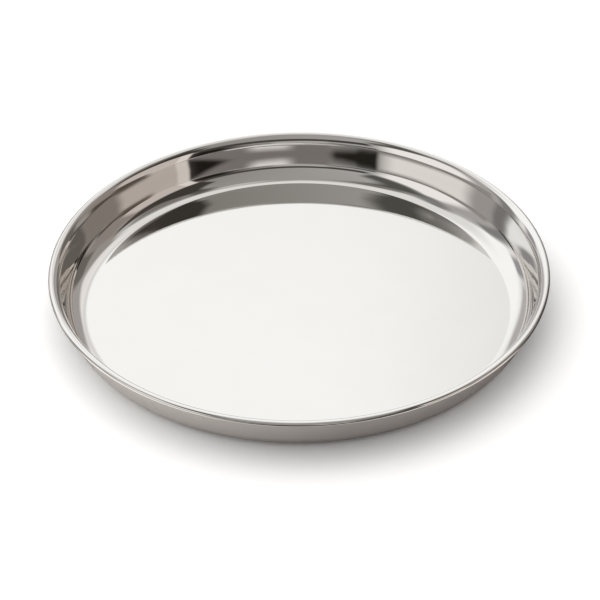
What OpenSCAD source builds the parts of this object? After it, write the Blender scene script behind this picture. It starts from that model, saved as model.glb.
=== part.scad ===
// Stainless-steel thali: one drawn sheet with a wired edge, standing on its flat floor.
// The section is drawn in radius and height, then turned about the upright axis.

/* [Plate] */
// Diameter over the rolled rim
plate_d = 300; // [200:1:400]
// Height from the table to the top of the rim
plate_h = 27.75; // [24:0.25:60]
// Thickness of the steel sheet
sheet_t = 0.7; // [0.4:0.05:0.8]

/* [Wall] */
// Radius of the bend that rises from the floor, on the food side
bend_r = 14.75; // [5:0.25:20]
// Radius of the tighter turn at the foot and at the top of the wall, on the food side
knee_r = 1.75; // [1:0.25:12]
// Lean from upright at which the bend and the shoulder pass into the tighter turns, in degrees
knee_lean = 27; // [16:1:34]
// Lean of the wall from upright at mid-height, in degrees
wall_lean = 10; // [0:0.5:16]
// How much more the wall leans at its foot and at its top than at mid-height, in degrees
wall_bow = 2.5; // [0.5:0.5:8]
// Radius of the shoulder that turns the sheet outwards, on the food side
shoulder_r = 18; // [8:0.5:26]
// Lean from upright at which the shoulder passes into the lip, in degrees
lip_start = 36; // [32:1:60]

/* [Rim] */
// Radius of the rounded lip on top of the rim
lip_r = 4.75; // [4:0.25:8]
// Outer radius of the curl that closes over the wire
curl_r = 1.6; // [1.4:0.05:1.9]
// Gap between the tucked edge of the sheet and the back of the lip
seam_gap = 0.3; // [0.1:0.05:0.6]
// Clearance between the wire and the curl that holds it
wire_gap = 0.1; // [0.05:0.01:0.2]

/* [Hidden] */
$fn = 240;

// The section's leans run from 0, an upright wall, through 90, level, to 270, the tucked edge.
level = 90;
tuck = 270;
// Degrees of bend that one straight chord of the section takes
chord_turn = 7.5;

// Centre of the lip and of the curl, one above the other under the rim's highest line
crest_x = plate_d / 2 - curl_r;
lip_c = [crest_x, plate_h - lip_r];
curl_c = [crest_x, plate_h - curl_r];

// Centres of the shoulder and of the turn under it, each on the radius where it meets the one above
shoulder_c = lip_c - (shoulder_r - lip_r) * facing(lip_start);
top_knee_c = shoulder_c + (shoulder_r - knee_r) * facing(knee_lean);

// From the centre of the bend, which stands over the floor's edge, out to the foot of the wall
foot_knee_out = -(bend_r - knee_r) * facing(knee_lean);
wall_end = wall_lean + wall_bow;
foot_out = foot_knee_out - knee_r * facing(wall_end);

// The wall is a long and slight S, hollow on the food side up to mid-height and full above it
wall_top = top_knee_c + knee_r * facing(wall_end);
wall_rise = wall_top[1] - sheet_t - bend_r - foot_out[1];
wall_r = wall_rise / 2 / (sin(wall_end) - sin(wall_lean));
upper_wall_c = wall_top - wall_r * facing(wall_end);
lower_wall_c = upper_wall_c + 2 * wall_r * facing(wall_lean);

// Centre of the bend, over the edge of the flat floor, and of the turn at the foot of the wall
bend_c = lower_wall_c - wall_r * facing(wall_end) - foot_out;
foot_knee_c = bend_c + foot_knee_out;

// The tucked edge runs straight on from the end of the curl, until it faces the back of the lip
tuck_dir = [sin(tuck), cos(tuck)];
tuck_from = curl_c + (curl_r - sheet_t) * facing(tuck) - lip_c;
tuck_along = tuck_from * tuck_dir;
lip_back_r = lip_r - sheet_t;
tuck_len = sqrt(pow(lip_back_r, 2) - tuck_from * tuck_from + pow(tuck_along, 2)) - tuck_along - seam_gap;

// The wire that the curl is closed over
wire_r = curl_r - sheet_t - wire_gap;

// Unit direction, in radius and height, that a sheet of this lean faces on the food side
function facing(lean) = [-cos(lean), sin(lean)];

// Points along one bend of the sheet, from one lean to another about its centre.
// A negative radius is a bend that is hollow on the food side.
function bend_points(centre, radius, from, to) =
    let (chords = ceil(abs(to - from) / chord_turn))
    [for (i = [0:chords]) centre + radius * facing(from + (to - from) * i / chords)];

// One side of the sheet, from the middle of the floor to its tucked edge.
// The food side has depth 0, and the back lies a sheet's thickness under it.
function sheet_side(depth) = concat(
    [[0, sheet_t - depth]],
    bend_points(bend_c, -(bend_r + depth), level, knee_lean),
    bend_points(foot_knee_c, -(knee_r + depth), knee_lean, wall_end),
    bend_points(lower_wall_c, -(wall_r + depth), wall_end, wall_lean),
    bend_points(upper_wall_c, wall_r - depth, wall_lean, wall_end),
    bend_points(top_knee_c, knee_r - depth, wall_end, knee_lean),
    bend_points(shoulder_c, shoulder_r - depth, knee_lean, lip_start),
    bend_points(lip_c, lip_r - depth, lip_start, level),
    bend_points(curl_c, curl_r - depth, level, tuck),
    [curl_c + (curl_r - depth) * facing(tuck) + tuck_len * tuck_dir]
);

function reversed(points) = [for (i = [len(points) - 1:-1:0]) points[i]];

module dish() {
    color("gainsboro")
        rotate_extrude()
            polygon(concat(sheet_side(0), reversed(sheet_side(sheet_t))));
}

module rim_wire() {
    color("silver")
        rotate_extrude()
            translate(curl_c)
                circle(r = wire_r);
}

dish();
rim_wire();
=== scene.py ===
from math import ceil, cos, radians, sin

import bpy
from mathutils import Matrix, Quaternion, Vector


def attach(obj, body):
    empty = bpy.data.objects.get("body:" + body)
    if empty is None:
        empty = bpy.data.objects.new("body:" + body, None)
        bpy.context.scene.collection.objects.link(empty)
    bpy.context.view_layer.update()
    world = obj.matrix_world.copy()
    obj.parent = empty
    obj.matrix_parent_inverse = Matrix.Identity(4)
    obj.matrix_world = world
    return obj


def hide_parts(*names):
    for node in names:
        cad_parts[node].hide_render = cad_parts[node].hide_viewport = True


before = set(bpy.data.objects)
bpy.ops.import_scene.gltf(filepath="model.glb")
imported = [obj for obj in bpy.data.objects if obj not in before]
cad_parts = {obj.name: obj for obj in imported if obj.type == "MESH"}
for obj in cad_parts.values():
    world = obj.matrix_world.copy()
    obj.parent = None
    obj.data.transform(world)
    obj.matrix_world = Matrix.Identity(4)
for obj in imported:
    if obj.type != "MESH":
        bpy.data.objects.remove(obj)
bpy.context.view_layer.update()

scene = bpy.context.scene
scene.view_settings.view_transform = "Standard"

# The camera
# A long lens looks down on the plate from about two metres away, as a catalogue photographer would set
# it up. The aim is the point of the table that lies on the lens's axis.
camera_at = Vector((0.0, -1.5943, 1.1712))
camera_aim = Vector((0.00047, 0.00597, 0.0))
camera_roll = radians(-0.415)

camera = bpy.data.objects.new("camera", bpy.data.cameras.new("camera"))
camera.data.sensor_width = 36.0
camera.data.lens = 196.65
camera.location = camera_at
camera.rotation_mode = "QUATERNION"
unrolled = (camera_aim - camera_at).to_track_quat("-Z", "Y")
camera.rotation_quaternion = unrolled @ Quaternion((0, 0, 1), camera_roll)
scene.collection.objects.link(camera)
scene.camera = camera

# The dish
# One disc of 0.7 mm stainless steel, drawn in a press into floor, bend, wall and shoulder. Its edge
# is rolled outwards and down over a wire. Then it is spun and polished, brighter inside than outside.
MM = 0.001
plate_d = 300.0
plate_h = 27.75
sheet_t = 0.7
bend_r = 14.75
knee_r = 1.75
shoulder_r = 18.0
lip_r = 4.75
curl_r = 1.6
seam_gap = 0.3

# Leans of the sheet in degrees, from 0, an upright wall, through 90, level, to 270, the tucked edge
wall_lean = 10.0
wall_bow = 2.5
knee_lean = 27.0
lip_start = 36.0
level = 90.0
tuck = 270.0

# Degrees between two points along each bend
bend_turn = 2.4
knee_turn = 3.0
wall_turn = 0.25
shoulder_turn = 1.7
lip_turn = 3.0
curl_turn = 4.5

# Millimetres to the points on a straight run, from its start, or from its end where negative
floor_stops = (4, 40, 80, 110, -1.5, -0.2)
tuck_stops = (0.1, -0.05)


def tone(hex_colour, alpha=1.0):
    """An sRGB hex colour as linear light."""
    parts = [int(hex_colour[i:i + 2], 16) / 255 for i in (1, 3, 5)]
    return (*[c / 12.92 if c <= 0.04045 else ((c + 0.055) / 1.055) ** 2.4 for c in parts], alpha)


def node(tree, kind, settings, inputs):
    """Adds one node, with its settings, and gives each named input its value or its link."""
    made = tree.nodes.new(kind)
    for name, value in settings.items():
        setattr(made, name, value)
    for socket, value in inputs.items():
        if isinstance(value, bpy.types.NodeSocket):
            tree.links.new(value, made.inputs[socket])
        else:
            made.inputs[socket].default_value = value
    return made


def facing(lean):
    """Unit direction, in radius and height, that a sheet of this lean faces on the food side."""
    return Vector((-cos(radians(lean)), sin(radians(lean))))


def bent(centre, radius, start, end, turn):
    """Points along one bend of the sheet, about one for each turn of that many degrees."""
    steps = ceil(abs(end - start) / turn)
    return [centre + radius * facing(start + (end - start) * i / steps) for i in range(steps + 1)]


def straight(start, end, stops):
    """Points on a straight run, at these distances from its start, or from its end where negative."""
    along = (end - start).normalized()
    return [(start if stop > 0 else end) + stop * along for stop in stops]


# Centres of the bends, from the rim down, each where the two radii meet without a crease
lip_c = Vector((plate_d / 2 - curl_r, plate_h - lip_r))
curl_c = Vector((plate_d / 2 - curl_r, plate_h - curl_r))
shoulder_c = lip_c - (shoulder_r - lip_r) * facing(lip_start)
top_knee_c = shoulder_c + (shoulder_r - knee_r) * facing(knee_lean)
wall_end = wall_lean + wall_bow
foot_out = -(bend_r - knee_r) * facing(knee_lean) - knee_r * facing(wall_end)
wall_top = top_knee_c + knee_r * facing(wall_end)
wall_rise = wall_top.y - sheet_t - bend_r - foot_out.y
wall_r = wall_rise / 2 / (sin(radians(wall_end)) - sin(radians(wall_lean)))
upper_wall_c = wall_top - wall_r * facing(wall_end)
lower_wall_c = upper_wall_c + 2 * wall_r * facing(wall_lean)
bend_c = lower_wall_c - wall_r * facing(wall_end) - foot_out
foot_knee_c = bend_c - (bend_r - knee_r) * facing(knee_lean)

# The tucked edge stops short of the back of the lip
tuck_rise = curl_c.y - curl_r + sheet_t - lip_c.y
tuck_x = lip_c.x - ((lip_r - sheet_t) ** 2 - tuck_rise ** 2) ** 0.5 + seam_gap


def sheet_side(depth):
    """One side of the sheet, from the middle of the floor to the tucked edge, so far under the food side."""
    middle = Vector((0.0, sheet_t - depth))
    floor_edge = Vector((bend_c.x, sheet_t - depth))
    bend = bent(bend_c, -(bend_r + depth), level, knee_lean, bend_turn)
    foot = bent(foot_knee_c, -(knee_r + depth), knee_lean, wall_end, knee_turn)
    lower_wall = bent(lower_wall_c, -(wall_r + depth), wall_end, wall_lean, wall_turn)
    upper_wall = bent(upper_wall_c, wall_r - depth, wall_lean, wall_end, wall_turn)
    top = bent(top_knee_c, knee_r - depth, wall_end, knee_lean, knee_turn)
    shoulder = bent(shoulder_c, shoulder_r - depth, knee_lean, lip_start, shoulder_turn)
    lip = bent(lip_c, lip_r - depth, lip_start, level, lip_turn)
    curl = bent(curl_c, curl_r - depth, level, tuck, curl_turn)
    tucked = Vector((tuck_x, curl[-1].y))
    return [middle, *straight(middle, floor_edge, floor_stops), *bend, *foot[1:], *lower_wall[1:],
            *upper_wall[1:], *top[1:], *shoulder[1:], *lip[1:], *curl[1:],
            *straight(curl[-1], tucked, tuck_stops), tucked]


food_side = sheet_side(0.0)
back_side = sheet_side(sheet_t)
section = [(point.x * MM, point.y * MM, 0.0) for point in food_side + back_side[::-1]]
section_mesh = bpy.data.meshes.new("dish_section")
section_mesh.from_pydata(section, [(i, i + 1) for i in range(len(section) - 1)], [])
outside = section_mesh.attributes.new("outside", "FLOAT", "POINT")
outside.data.foreach_set("value", [0.0] * len(food_side) + [1.0] * len(back_side))

# The section is turned about the plate's axis, as the polishing lathe turns the sheet. It is swept along
# a circle and moved inwards by that circle's radius, so its points keep their own radius.
turned = bpy.data.node_groups.new("turned_dish", "GeometryNodeTree")
for name, kind in (("Section", "Geometry"), ("Steps round", "Int"), ("Turning radius", "Float"),
                   ("Weld distance", "Float"), ("Steel", "Material")):
    turned.interface.new_socket(name, in_out="INPUT", socket_type="NodeSocket" + kind)
turned.interface.new_socket("Dish", in_out="OUTPUT", socket_type="NodeSocketGeometry")
sizes = node(turned, "NodeGroupInput", {}, {}).outputs
line = node(turned, "GeometryNodeMeshToCurve", {}, {"Mesh": sizes["Section"]})
inward = node(turned, "ShaderNodeMath", {"operation": "MULTIPLY"}, {0: sizes["Turning radius"], 1: -1.0})
offset = node(turned, "ShaderNodeCombineXYZ", {}, {"X": inward.outputs[0]})
# A swept section's height points down, so it is turned over first
profile = node(turned, "GeometryNodeTransform", {},
               {"Geometry": line.outputs["Curve"], "Translation": offset.outputs[0],
                "Scale": (1.0, -1.0, 1.0)})
circle = node(turned, "GeometryNodeCurvePrimitiveCircle", {},
              {"Resolution": sizes["Steps round"], "Radius": sizes["Turning radius"]})
upright = node(turned, "GeometryNodeSetCurveNormal", {"mode": "Z_UP"}, {"Curve": circle.outputs["Curve"]})
swept = node(turned, "GeometryNodeCurveToMesh", {},
             {"Curve": upright.outputs["Curve"], "Profile Curve": profile.outputs["Geometry"]})
welded = node(turned, "GeometryNodeMergeByDistance", {},
              {"Geometry": swept.outputs["Mesh"], "Distance": sizes["Weld distance"]})
smooth = node(turned, "GeometryNodeSetShadeSmooth", {}, {"Geometry": welded.outputs["Geometry"]})
whole = node(turned, "GeometryNodeRealizeInstances", {}, {"Geometry": smooth.outputs["Geometry"]})
steeled = node(turned, "GeometryNodeSetMaterial", {},
               {"Geometry": whole.outputs["Geometry"], "Material": sizes["Steel"]})
node(turned, "NodeGroupOutput", {}, {"Dish": steeled.outputs["Geometry"]})

# Stainless steel 304, mirror-polished with a mop on a lathe. It reflects the studio sharply, with a faint
# grain of rings round the axis, a little waviness left from the press, and a duller, satin outside.
colour_mix = {"data_type": "RGBA"}
polished_steel = bpy.data.materials.new("mirror_polished_stainless_steel")
polished_steel.use_nodes = True
tree = polished_steel.node_tree
tree.nodes.clear()
place = node(tree, "ShaderNodeTexCoord", {}, {}).outputs["Object"]
level_place = node(tree, "ShaderNodeVectorMath", {"operation": "MULTIPLY"},
                   {0: place, 1: (1, 1, 0)}).outputs["Vector"]
from_axis = node(tree, "ShaderNodeVectorMath", {"operation": "LENGTH"}, {0: level_place}).outputs["Value"]
back = node(tree, "ShaderNodeAttribute", {"attribute_name": "outside"}, {}).outputs["Fac"]
# Polishing rings lie about 0.3 mm apart on such plates, and are drawn at 0.6 mm, one pixel of the photo
ring_spacing = 0.0006
ring_depth = 0.0000015
rings = node(tree, "ShaderNodeTexNoise", {"noise_dimensions": "1D"},
             {"W": from_axis, "Scale": 1 / ring_spacing, "Detail": 3.0, "Roughness": 0.6}).outputs["Fac"]
# Waves left by the press are about 45 mm long and a few hundredths of a millimetre deep
wave_length = 0.045
wave_depth = 0.00006
waves = node(tree, "ShaderNodeTexNoise", {},
             {"Vector": place, "Scale": 1 / wave_length, "Detail": 1.0}).outputs["Fac"]
# Wiping and stacking leave clouds some 30 mm across where the polish is a little duller
cloud_width = 0.03
clouds = node(tree, "ShaderNodeTexNoise", {},
              {"Vector": place, "Scale": 1 / cloud_width, "Detail": 2.0, "Roughness": 0.5}).outputs["Fac"]
cloudy = {"Value": clouds, "From Min": 0.3, "From Max": 0.7}
inside_gloss = node(tree, "ShaderNodeMapRange", {}, {**cloudy, "To Min": 0.015, "To Max": 0.03}).outputs[0]
outside_gloss = node(tree, "ShaderNodeMapRange", {}, {**cloudy, "To Min": 0.25, "To Max": 0.28}).outputs[0]
gloss = node(tree, "ShaderNodeMix", {"data_type": "FLOAT"},
             {0: back, 2: inside_gloss, 3: outside_gloss}).outputs[0]
tint = node(tree, "ShaderNodeMix", colour_mix, {0: clouds, 6: tone("#E8E7E5"), 7: tone("#E5E4E1")}).outputs[2]
wavy = node(tree, "ShaderNodeBump", {},
            {"Height": waves, "Distance": wave_depth, "Strength": 1.0}).outputs["Normal"]
ringed = node(tree, "ShaderNodeBump", {},
              {"Height": rings, "Distance": ring_depth, "Strength": 1.0, "Normal": wavy}).outputs["Normal"]
steel = node(tree, "ShaderNodeBsdfPrincipled", {},
             {"Base Color": tint, "Metallic": 1.0, "Roughness": gloss, "Normal": ringed})
node(tree, "ShaderNodeOutputMaterial", {}, {"Surface": steel.outputs["BSDF"]})

# The turned mesh is baked, so that a plain mesh rides on the part
section_object = bpy.data.objects.new("dish_section", section_mesh)
scene.collection.objects.link(section_object)
turning = section_object.modifiers.new("turning", "NODES")
turning.node_group = turned
values = {"Steps round": 360, "Turning radius": 0.1, "Weld distance": 0.000002, "Steel": polished_steel}
for item in turned.interface.items_tree:
    if item.in_out == "INPUT" and item.name in values:
        turning[item.identifier] = values[item.name]
graph = bpy.context.evaluated_depsgraph_get()
dish_mesh = bpy.data.meshes.new_from_object(section_object.evaluated_get(graph))
section_object.modifiers.clear()
bpy.data.objects.remove(section_object)
dish_mesh.name = "polished_dish"
dish = bpy.data.objects.new("polished_dish", dish_mesh)
scene.collection.objects.link(dish)
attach(dish, "root")
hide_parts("dish")

# The rim wire
# A ring of 1.6 mm drawn steel wire that the edge of the sheet is rolled over. The CAD node is kept as it
# is, and the curl hides all of it.
drawn_wire = bpy.data.materials.new("drawn_steel_wire")
drawn_wire.use_nodes = True
tree = drawn_wire.node_tree
tree.nodes.clear()
place = node(tree, "ShaderNodeTexCoord", {}, {}).outputs["Object"]
# Die lines and lubricant leave grey streaks a few millimetres long
streak_length = 0.004
streak_depth = 0.00001
streaks = node(tree, "ShaderNodeTexNoise", {},
               {"Vector": place, "Scale": 1 / streak_length, "Detail": 3.0}).outputs["Fac"]
wire_tint = node(tree, "ShaderNodeMix", colour_mix,
                 {0: streaks, 6: tone("#C4C1BC"), 7: tone("#A9A6A1")}).outputs[2]
wire_gloss = node(tree, "ShaderNodeMapRange", {},
                  {"Value": streaks, "To Min": 0.25, "To Max": 0.45}).outputs[0]
wire_bump = node(tree, "ShaderNodeBump", {}, {"Height": streaks, "Distance": streak_depth}).outputs["Normal"]
wire_steel = node(tree, "ShaderNodeBsdfPrincipled", {},
                  {"Base Color": wire_tint, "Metallic": 1.0, "Roughness": wire_gloss, "Normal": wire_bump})
node(tree, "ShaderNodeOutputMaterial", {}, {"Surface": wire_steel.outputs["BSDF"]})
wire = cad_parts["rim_wire"]
wire.data.materials.clear()
wire.data.materials.append(drawn_wire)

# The floor
# The camera sees a plain sheet of white paper, on which the plate's soft shadow lies. Every other ray,
# and so the outside of the steel, meets the paper with painted shade, darker near the plate and towards
# the right, and painted dark bands in front of the plate and at its sides, which the steel reflects.
paper = bpy.data.materials.new("white_background_paper")
paper.use_nodes = True
tree = paper.node_tree
tree.nodes.clear()
soft_edge = {"interpolation_type": "SMOOTHSTEP"}
fibre_length = 0.002
# Where each tone gives way to the next, in metres from the plate's axis, or along X or Y as its use says
light_falls_off = {"From Min": -0.15, "From Max": 0.03}
plate_shades = {"From Min": 0.155, "From Max": 0.168}
front_edge = {"From Min": -0.170, "From Max": -0.180}
front_band_darkens = {"From Min": -0.11, "From Max": -0.06}
side_edge = {"From Min": 0.118, "From Max": 0.136}
side_start = {"From Min": -0.075, "From Max": -0.045}

place = node(tree, "ShaderNodeTexCoord", {}, {}).outputs["Object"]
seen = node(tree, "ShaderNodeLightPath", {}, {}).outputs["Is Camera Ray"]
fibres = node(tree, "ShaderNodeTexNoise", {},
              {"Vector": place, "Scale": 1 / fibre_length, "Detail": 2.0}).outputs["Fac"]
spot = node(tree, "ShaderNodeSeparateXYZ", {}, {"Vector": place}).outputs
level_place = node(tree, "ShaderNodeVectorMath", {"operation": "MULTIPLY"},
                   {0: place, 1: (1, 1, 0)}).outputs["Vector"]
reach = node(tree, "ShaderNodeVectorMath", {"operation": "LENGTH"}, {0: level_place}).outputs["Value"]
# Painted shade, unseen by the camera: near the plate the paper is greyer, from a lit tone at the left to a
# shaded tone at the right
lit_paper = node(tree, "ShaderNodeMix", colour_mix,
                 {0: fibres, 6: tone("#E0DBD9"), 7: tone("#DCD7D5")}).outputs[2]
shaded_paper = node(tree, "ShaderNodeMix", colour_mix,
                    {0: fibres, 6: tone("#B1ABA9"), 7: tone("#ADA7A5")}).outputs[2]
# The painted shade deepens from left to right along X
painted_falloff_right = node(tree, "ShaderNodeMapRange", {}, {"Value": spot["X"], **light_falls_off}).outputs[0]
painted_shade_near_plate = node(tree, "ShaderNodeMix", colour_mix,
                  {0: painted_falloff_right, 6: lit_paper, 7: shaded_paper}).outputs[2]
# Past the plate the paper is near white at the left, with painted shade towards the right
open_paper = node(tree, "ShaderNodeMix", colour_mix,
                  {0: painted_falloff_right, 6: tone("#FFFDFB"), 7: tone("#EDE7E3")}).outputs[2]
# The painted shade near the plate gives way to the open paper a little past the rim
clear_of_plate = node(tree, "ShaderNodeMapRange", soft_edge, {"Value": reach, **plate_shades}).outputs[0]
painted_shade_paper = node(tree, "ShaderNodeMix", colour_mix,
                  {0: clear_of_plate, 6: painted_shade_near_plate, 7: open_paper}).outputs[2]
# A painted dark band in front of the plate, unseen by the camera, paints the thin dark line along the rolled
# rim
in_front = node(tree, "ShaderNodeMapRange", soft_edge, {"Value": spot["Y"], **front_edge}).outputs[0]
dark_part = node(tree, "ShaderNodeMapRange", {}, {"Value": spot["X"], **front_band_darkens}).outputs[0]
painted_dark_front = node(tree, "ShaderNodeMix", colour_mix,
             {0: dark_part, 6: tone("#B4AEA9"), 7: tone("#1A1715")}).outputs[2]
# Painted dark bands beside the plate, unseen by the camera and darker towards the right, darken the rim's
# outline in the steel
sideways = node(tree, "ShaderNodeMath", {"operation": "ABSOLUTE"}, {0: spot["X"]}).outputs[0]
at_side = node(tree, "ShaderNodeMapRange", soft_edge, {"Value": sideways, **side_edge}).outputs[0]
behind_front = node(tree, "ShaderNodeMapRange", soft_edge, {"Value": spot["Y"], **side_start}).outputs[0]
beside = node(tree, "ShaderNodeMath", {"operation": "MULTIPLY"}, {0: at_side, 1: behind_front}).outputs[0]
painted_dark_sides = node(tree, "ShaderNodeMix", colour_mix,
                  {0: painted_falloff_right, 6: tone("#A8A29E"), 7: tone("#3A3532")}).outputs[2]
paper_or_side = node(tree, "ShaderNodeMix", colour_mix, {0: beside, 6: painted_shade_paper, 7: painted_dark_sides}).outputs[2]
ground = node(tree, "ShaderNodeMix", colour_mix, {0: in_front, 6: paper_or_side, 7: painted_dark_front}).outputs[2]
paper_tint = node(tree, "ShaderNodeMix", colour_mix, {0: seen, 6: ground, 7: tone("#FFFFFF")}).outputs[2]
matte = node(tree, "ShaderNodeBsdfDiffuse", {}, {"Color": paper_tint})
clear = node(tree, "ShaderNodeBsdfTransparent", {}, {})
# From under the floor the paper is left out, so that the plate's underside can be looked at
under = node(tree, "ShaderNodeNewGeometry", {}, {}).outputs["Backfacing"]
sheet = node(tree, "ShaderNodeMixShader", {}, {0: under, 1: matte.outputs[0], 2: clear.outputs[0]})
node(tree, "ShaderNodeOutputMaterial", {}, {"Surface": sheet.outputs[0]})

# The floor lies a hair under the plate, so that the two never share a plane
floor_half = 6.0
floor_z = -0.00005
corners = [(x * floor_half, y * floor_half, floor_z) for x, y in ((-1, -1), (1, -1), (1, 1), (-1, 1))]
floor_mesh = bpy.data.meshes.new("floor")
floor_mesh.from_pydata(corners, [], [(0, 1, 2, 3)])
floor_mesh.materials.append(paper)
floor = bpy.data.objects.new("floor", floor_mesh)
scene.collection.objects.link(floor)

# The studio
# White cards, a ceiling scrim and the dark gaps between them stand round the table. Only the steel sees
# them, each by its direction: azimuth from the camera's side, positive to the right, and height in degrees.
card = bpy.data.node_groups.new("studio_card", "ShaderNodeTree")
for name, kind in (("Behind", "Color"), ("Azimuth", "Float"), ("Height", "Float"), ("Left", "Float"),
                   ("Right", "Float"), ("Foot at left", "Float"), ("Foot at right", "Float"),
                   ("Top at left", "Float"), ("Top at right", "Float"), ("Side blur", "Float"),
                   ("Edge blur", "Float"), ("Card", "Color")):
    card.interface.new_socket(name, in_out="INPUT", socket_type="NodeSocket" + kind)
card.interface.new_socket("Colour", in_out="OUTPUT", socket_type="NodeSocketColor")
given = node(card, "NodeGroupInput", {}, {}).outputs
across = {"Value": given["Azimuth"], "From Min": given["Left"], "From Max": given["Right"]}
foot = node(card, "ShaderNodeMapRange", {},
            {**across, "To Min": given["Foot at left"], "To Max": given["Foot at right"]}).outputs[0]
top = node(card, "ShaderNodeMapRange", {},
           {**across, "To Min": given["Top at left"], "To Max": given["Top at right"]}).outputs[0]
# Each edge is soft over its blur, half of it inside the card and half outside
half_blur = {"From Min": -0.5, "From Max": 0.5}
cover = None
for high, low, blur in ((given["Azimuth"], given["Left"], "Side blur"),
                        (given["Right"], given["Azimuth"], "Side blur"),
                        (given["Height"], foot, "Edge blur"),
                        (top, given["Height"], "Edge blur")):
    inside = node(card, "ShaderNodeMath", {"operation": "SUBTRACT"}, {0: high, 1: low}).outputs[0]
    share = node(card, "ShaderNodeMath", {"operation": "DIVIDE"}, {0: inside, 1: given[blur]}).outputs[0]
    edge = node(card, "ShaderNodeMapRange", soft_edge, {"Value": share, **half_blur}).outputs[0]
    if cover is None:
        cover = edge
    else:
        cover = node(card, "ShaderNodeMath", {"operation": "MULTIPLY"}, {0: cover, 1: edge}).outputs[0]
shown = node(card, "ShaderNodeMix", colour_mix, {0: cover, 6: given["Behind"], 7: given["Card"]})
node(card, "NodeGroupOutput", {}, {"Colour": shown.outputs[2]})

world = bpy.data.worlds.new("studio")
scene.world = world
world.use_nodes = True
tree = world.node_tree
tree.nodes.clear()
direction = node(tree, "ShaderNodeTexCoord", {}, {}).outputs["Generated"]
apart = node(tree, "ShaderNodeSeparateXYZ", {}, {"Vector": direction}).outputs
towards = node(tree, "ShaderNodeMath", {"operation": "MULTIPLY"}, {0: apart["Y"], 1: -1.0}).outputs[0]
turn = node(tree, "ShaderNodeMath", {"operation": "ARCTAN2"}, {0: apart["X"], 1: towards}).outputs[0]
azimuth = node(tree, "ShaderNodeMath", {"operation": "DEGREES"}, {0: turn}).outputs[0]
rise = node(tree, "ShaderNodeMath", {"operation": "ARCSINE"}, {0: apart["Z"]}).outputs[0]
height = node(tree, "ShaderNodeMath", {"operation": "DEGREES"}, {0: rise}).outputs[0]
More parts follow.
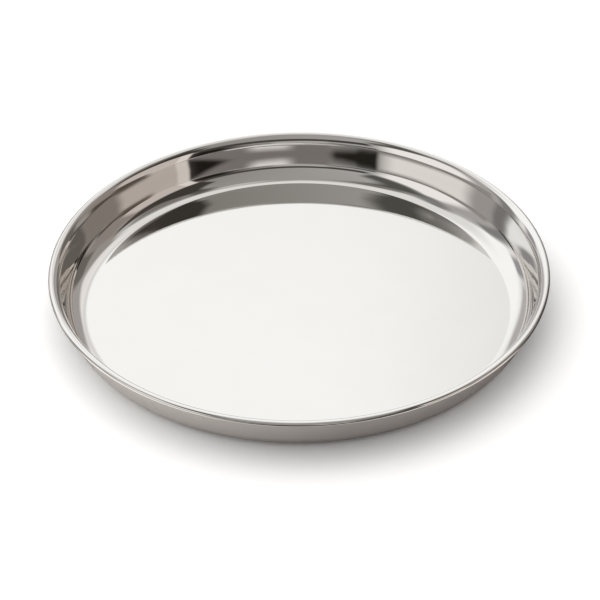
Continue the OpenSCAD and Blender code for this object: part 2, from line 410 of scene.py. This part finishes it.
# Ceiling scrim, a little brighter on the left
scrim_side = node(tree, "ShaderNodeMapRange", {},
                  {"Value": apart["X"], "From Min": -0.7, "From Max": 0.7}).outputs[0]
seen_colour = node(tree, "ShaderNodeMix", colour_mix,
                   {0: scrim_side, 6: tone("#B0AEAC"), 7: tone("#888480")}).outputs[2]
cards = (
    # left, right, foot at each, top at each, side and edge blur, colour
    (-185, -115, -5, -5, 77, 73, 12, 12, "#E4E2E0"),       # white wall behind, to the left
    (132, 185, -5, -5, 70, 77, 12, 12, "#E4E2E0"),         # white wall behind, to the right
    (-185, -158, -20, -20, 33, 22, 10, 8, "#FFFFFF"),      # its bright foot, to the left
    (166, 185, -20, -20, 24, 33, 10, 8, "#FFFFFF"),        # its bright foot, to the right
    (-185, -116, 32, 18, 50, 44, 8, 13, "#FFFFFF"),        # lit part of the wall, to the left
    (150, 185, 26, 32, 45, 50, 10, 13, "#FFFFFF"),         # lit part of the wall, to the right
    (164, 175, 24, 24, 58, 58, 10, 10, "#D9D7D6"),         # where its light falls off
    (98, 166, 22, 25, 47, 49, 25, 10, "#E8E4E2"),          # sheer curtain at the right
    (-168, -139, 4, 4, 28, 16, 9, 7, "#B4B0B0"),           # low shelf behind, to the left
    (-136, -124, -5, -5, 22, 20, 6, 6, "#989698"),         # gap between two walls
    (-115, -102, -5, -5, 36, 36, 10, 7, "#828080"),        # darker gap, nearer
    (-103, -82, -5, -5, 57, 53, 6, 8, "#A8A4A2"),          # unlit wall at the left
    (-86, -41, -5, -5, 52, 36, 12, 4, "#F2EEEC"),          # white card at the left
    (-98, -37, -10, -10, 16, 11, 4, 2, "#908C88"),         # table under the left card
    (-126, -81, 57, 46, 63, 64, 12, 8, "#807E7C"),         # beam over the unlit wall
    (-132, -84, 72, 61, 83, 77, 10, 8, "#787470"),         # second beam over it
    (-90, -37, 56, 34, 78, 51, 7, 11, "#565450"),          # dark beam over the left card
    (-35, 50, 27, 28, 36, 36, 5, 3, "#46423E"),            # dark beam over the camera
    (-35, -12, 9, 11, 20, 21, 12, 8, "#24201A"),           # brown room, left of the camera
    (-37, -27, 9, 11, 21, 20, 3, 6, "#26241F"),            # its darkest corner
    (-15, 51, -10, -10, 24, 24, 6, 6, "#807A78"),          # the photographer's side of the room
    (4, 22, -10, -10, 11, 11, 9, 4, "#E8E4E2"),            # low lamp by the camera
    (-14, 12, 17, 16, 28, 26, 6, 5, "#AEAAA6"),            # pale wall behind the camera
    (29, 56, 15, 10, 28, 29, 20, 3, "#221E1A"),            # dark room, right of the camera
    (52, 109, -5, -5, 36, 41, 3, 4, "#C4BAB4"),            # white card at the right
    (52, 58, -5, -5, 36, 36, 2, 4, "#DED6D0"),             # its pale end
    (72, 110, -10, -10, 14, 19, 6, 2, "#544A42"),          # dark table under it
    (109, 144, -5, -5, 44, 49, 10, 8, "#98928E"),          # unlit wall at the right
    (120, 139, -5, -5, 28, 27, 6, 6, "#6C6662"),           # gap in it
    (50, 96, 33, 38, 51, 72, 4, 5, "#3E3A36"),             # dark beam over the right card
    (88, 126, 36, 44, 54, 44, 10, 5, "#46403C"),           # its lower arm
    (87, 126, 64, 68, 70, 74, 9, 4, "#5C5854"),            # its upper arm
    (93, 118, 52, 51, 64, 65, 8, 4, "#7C7672"),            # grey scrim between the arms
    (112, 150, 71, 74, 80, 82, 10, 6, "#BEBAB6"),          # ceiling edge at the right
    (92, 120, 11, 12, 38, 40, 8, 6, "#8C847E"),            # shaded end of the right card
    (140, 164, -5, -5, 30, 28, 7, 7, "#A29E9C"),           # low shelf behind, to the right
)
extent_names = ("Left", "Right", "Foot at left", "Foot at right", "Top at left", "Top at right",
                "Side blur", "Edge blur")
for *extent, colour in cards:
    seen_colour = node(tree, "ShaderNodeGroup", {"node_tree": card},
                       {"Behind": seen_colour, "Azimuth": azimuth, "Height": height,
                        **dict(zip(extent_names, map(float, extent))),
                        "Card": tone(colour)}).outputs["Colour"]
paths = node(tree, "ShaderNodeLightPath", {}, {}).outputs
cards_seen = node(tree, "ShaderNodeBackground", {}, {"Color": seen_colour, "Strength": 1.14})
# The table gets more light from above, from the wall behind and from the left than from the camera's side
favoured_from = (-0.42, 0.4, 0.45)
even_light = 0.77
favoured = node(tree, "ShaderNodeVectorMath", {"operation": "DOT_PRODUCT"},
                {0: direction, 1: favoured_from}).outputs["Value"]
fill = node(tree, "ShaderNodeMath", {"operation": "ADD"}, {0: favoured, 1: even_light}).outputs[0]
soft_light = node(tree, "ShaderNodeBackground", {}, {"Color": tone("#FFFEFD"), "Strength": fill})
backdrop = node(tree, "ShaderNodeBackground", {}, {"Color": tone("#FFFFFF"), "Strength": 1.0})
lit = node(tree, "ShaderNodeMixShader", {},
           {0: paths["Is Glossy Ray"], 1: soft_light.outputs[0], 2: cards_seen.outputs[0]})
all_seen = node(tree, "ShaderNodeMixShader", {},
                {0: paths["Is Camera Ray"], 1: lit.outputs[0], 2: backdrop.outputs[0]})
node(tree, "ShaderNodeOutputWorld", {}, {"Surface": all_seen.outputs[0]})

# A wide softbox behind the plate's left side throws its shadow forwards and to the right
softbox_at = Vector((-0.55, 0.35, 1.3))
softbox = bpy.data.lights.new("softbox", "AREA")
softbox.shape = "SQUARE"
softbox.size = 2.6
softbox.energy = 7.5
softbox_object = bpy.data.objects.new("softbox", softbox)
softbox_object.location = softbox_at
softbox_object.rotation_mode = "QUATERNION"
softbox_object.rotation_quaternion = (-softbox_at).to_track_quat("-Z", "Y")
softbox_object.visible_glossy = False
softbox_object.visible_camera = False
scene.collection.objects.link(softbox_object)
